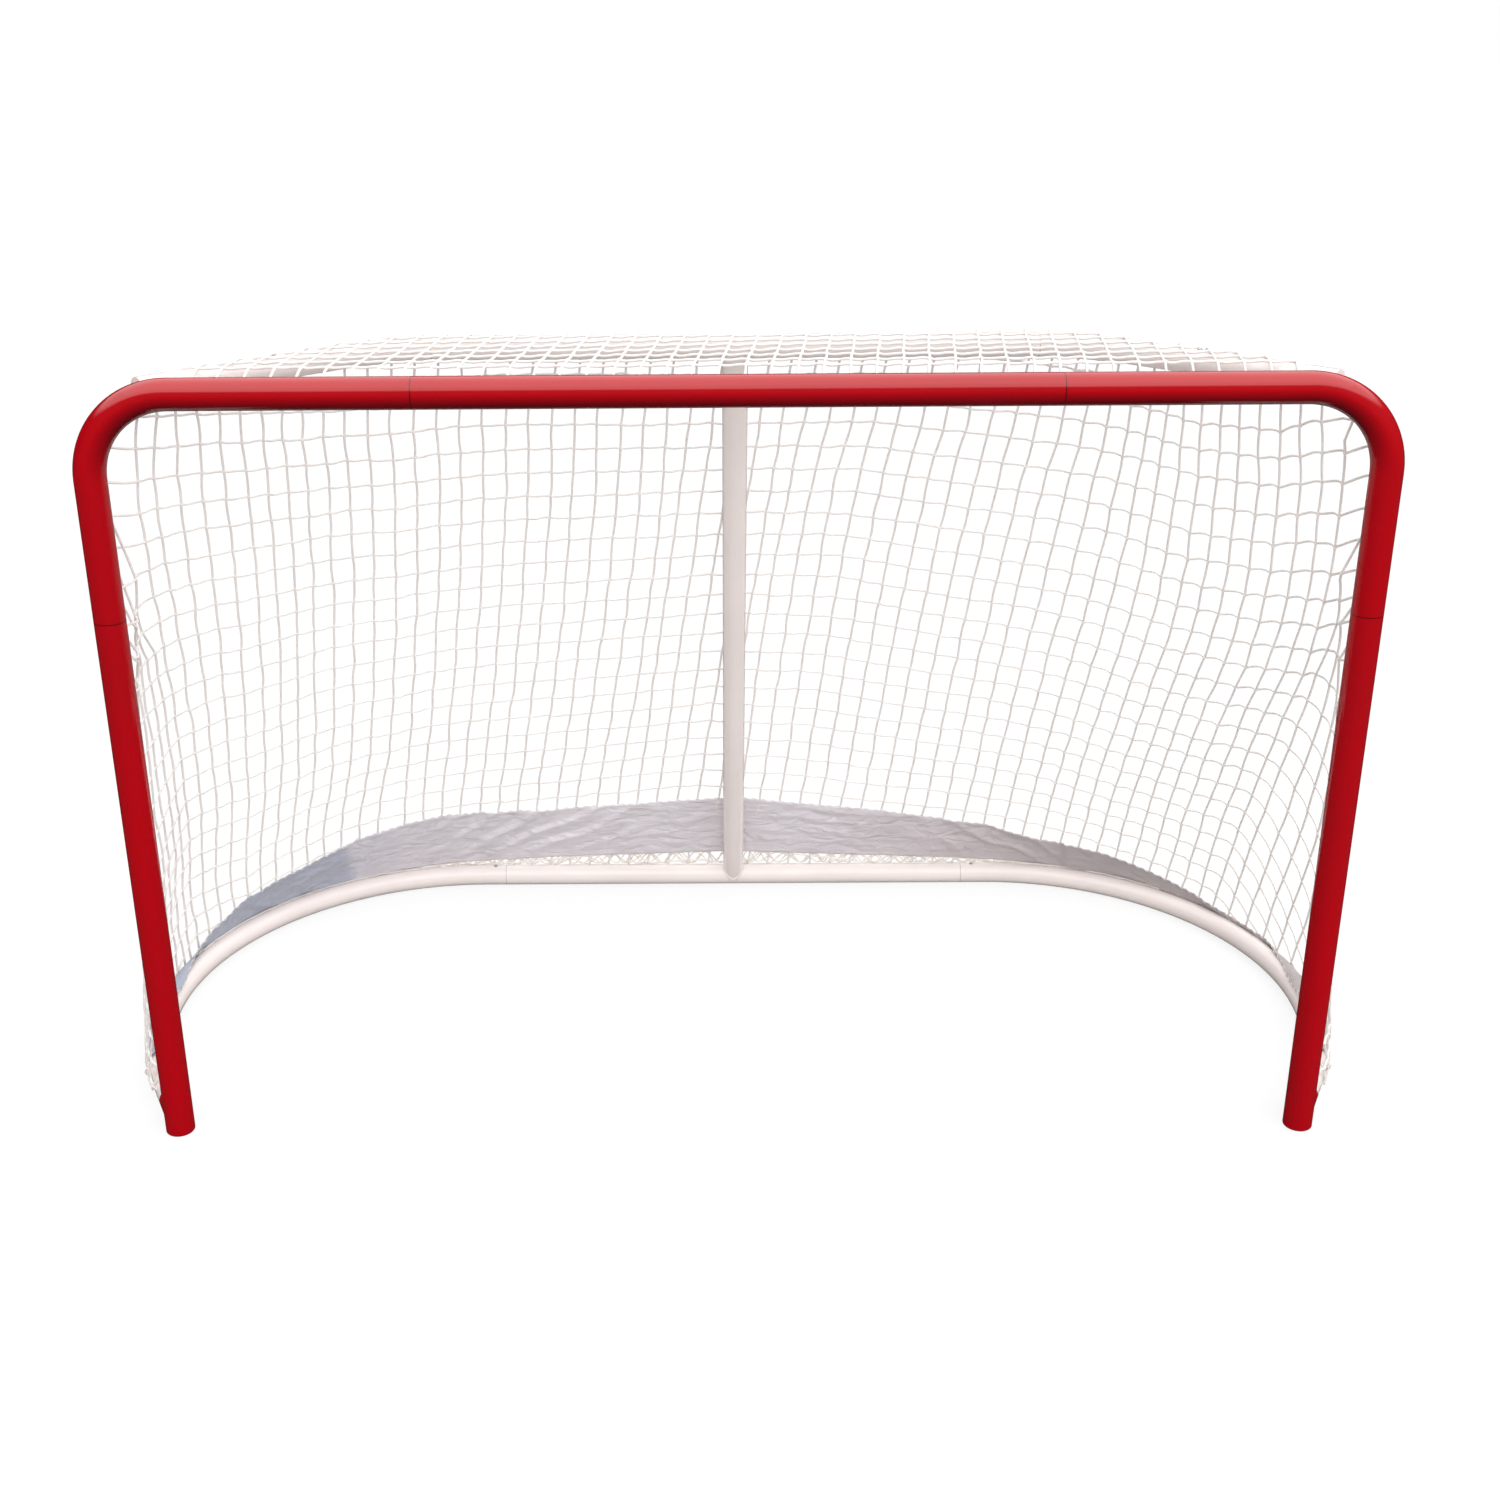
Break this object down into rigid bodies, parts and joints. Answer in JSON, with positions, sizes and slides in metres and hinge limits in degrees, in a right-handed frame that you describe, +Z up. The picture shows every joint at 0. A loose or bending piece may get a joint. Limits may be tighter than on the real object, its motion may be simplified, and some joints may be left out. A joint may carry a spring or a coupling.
{
  "type": "hockey goal net",
  "caption": "Ice hockey goal: a red tube mouth frame, a white tube frame behind it, square-mesh netting over the roof, back and sides, and a cloth skirt along the foot of the net.",
  "frame": {"origin": "on the floor, in the middle of the goal's footprint", "axes": "+Z up, X along the crossbar, and the mouth faces -Y"},
  "size_m": [2.1686, 0.953, 1.2668],
  "materials": {
    "red_coat": "gloss powder coat on steel tube",
    "white_coat": "gloss powder coat on steel tube",
    "zinc_plate": "bright zinc plate",
    "spring_steel": "hardened strip, oiled",
    "border_cord": "braided polyester cord",
    "net_twine": "knotted polyester twine",
    "skirt_cloth": "woven polyester"
  },
  "bodies": {
    "goal_frame": {"crossbar_middle": "red_coat", "mouth_hooks": "red_coat", "corner_left": "red_coat", "corner_right": "red_coat", "lower_post_left": "red_coat", "lower_post_right": "red_coat", "foot_cap_left": "red_coat", "foot_cap_right": "red_coat", "base_rear": "white_coat", "shelf_bow": "white_coat", "centre_post": "white_coat", "lower_saddle": "white_coat", "upper_saddle": "white_coat", "base_hooks": "white_coat", "base_side_left": "white_coat", "base_side_right": "white_coat", "shelf_arm_left": "white_coat", "shelf_arm_right": "white_coat", "frame_screws": "zinc_plate", "stub_screws": "zinc_plate", "saddle_screws": "zinc_plate", "crossbar_sleeve_left": "zinc_plate", "crossbar_sleeve_right": "zinc_plate", "post_sleeve_left": "zinc_plate", "post_sleeve_right": "zinc_plate", "base_sleeve_left": "zinc_plate", "base_sleeve_right": "zinc_plate", "stub_sleeve_left": "zinc_plate", "stub_sleeve_right": "zinc_plate", "shelf_sleeve_left": "zinc_plate", "shelf_sleeve_right": "zinc_plate", "clip_base_left": "spring_steel", "clip_base_right": "spring_steel", "clip_shelf_left": "spring_steel", "clip_shelf_right": "spring_steel", "crossbar_cord": "border_cord", "base_cord": "border_cord", "post_cord_left": "border_cord", "post_cord_right": "border_cord", "back_net": "net_twine", "roof_net": "net_twine", "side_net_post_left": "net_twine", "side_net_post_right": "net_twine", "side_net_shoulder_left": "net_twine", "side_net_shoulder_right": "net_twine", "side_net_front_left": "net_twine", "side_net_front_right": "net_twine", "side_net_middle_left": "net_twine", "side_net_middle_right": "net_twine", "side_net_rear_left": "net_twine", "side_net_rear_right": "net_twine", "skirt": "skirt_cloth"},
    "button_base_left": {"button_base_left": "zinc_plate"},
    "button_base_right": {"button_base_right": "zinc_plate"},
    "button_shelf_left": {"button_shelf_left": "zinc_plate"},
    "button_shelf_right": {"button_shelf_right": "zinc_plate"}
  },
  "joints": [
    {"name": "button_base_left_press", "type": "slide", "parent": "goal_frame", "child": "button_base_left", "axis": [0, 0, 1], "range_m": [-0.0048, 0], "stiffness_N_per_m": 2000, "deforming": ["clip_base_left"]},
    {"name": "button_base_right_press", "type": "slide", "parent": "goal_frame", "child": "button_base_right", "axis": [0, 0, 1], "range_m": [-0.0048, 0], "stiffness_N_per_m": 2000, "deforming": ["clip_base_right"]},
    {"name": "button_shelf_left_press", "type": "slide", "parent": "goal_frame", "child": "button_shelf_left", "axis": [0, 0, 1], "range_m": [-0.0048, 0], "stiffness_N_per_m": 2000, "deforming": ["clip_shelf_left"]},
    {"name": "button_shelf_right_press", "type": "slide", "parent": "goal_frame", "child": "button_shelf_right", "axis": [0, 0, 1], "range_m": [-0.0048, 0], "stiffness_N_per_m": 2000, "deforming": ["clip_shelf_right"]}
  ]
}
